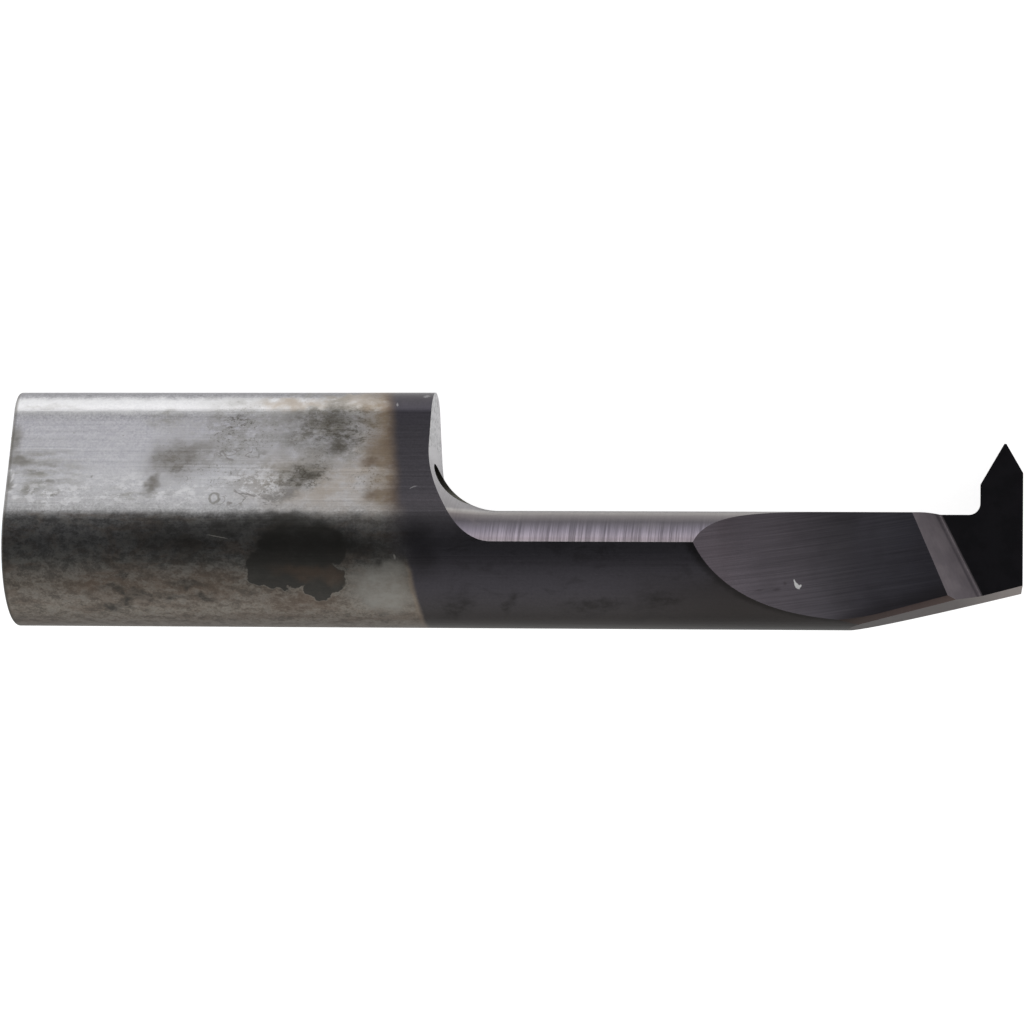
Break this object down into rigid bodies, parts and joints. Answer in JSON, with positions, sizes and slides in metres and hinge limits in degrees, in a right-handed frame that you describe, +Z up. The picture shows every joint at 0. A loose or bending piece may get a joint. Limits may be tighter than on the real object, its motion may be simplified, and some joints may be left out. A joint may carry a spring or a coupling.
{
  "type": "single point threading tool",
  "caption": "Solid carbide insert for cutting internal threads: drop-section shank, round ground neck and a 60 degree tooth at the end.",
  "frame": {"origin": "centre of the part's outline, at the height of the flat it lies on", "axes": "+X from the rear stop face to the cutting end, +Y towards the side that the tooth points to, +Z up from the lower flat of the wedge"},
  "size_m": [0.03, 0.0068, 0.0048],
  "materials": {
    "ground_carbide": "ground cemented carbide, bare and stained on the shank, with a thin dark purple-grey coating on the neck and head"
  },
  "bodies": {
    "root": {"threading_tool": "ground_carbide"}
  },
  "joints": []
}
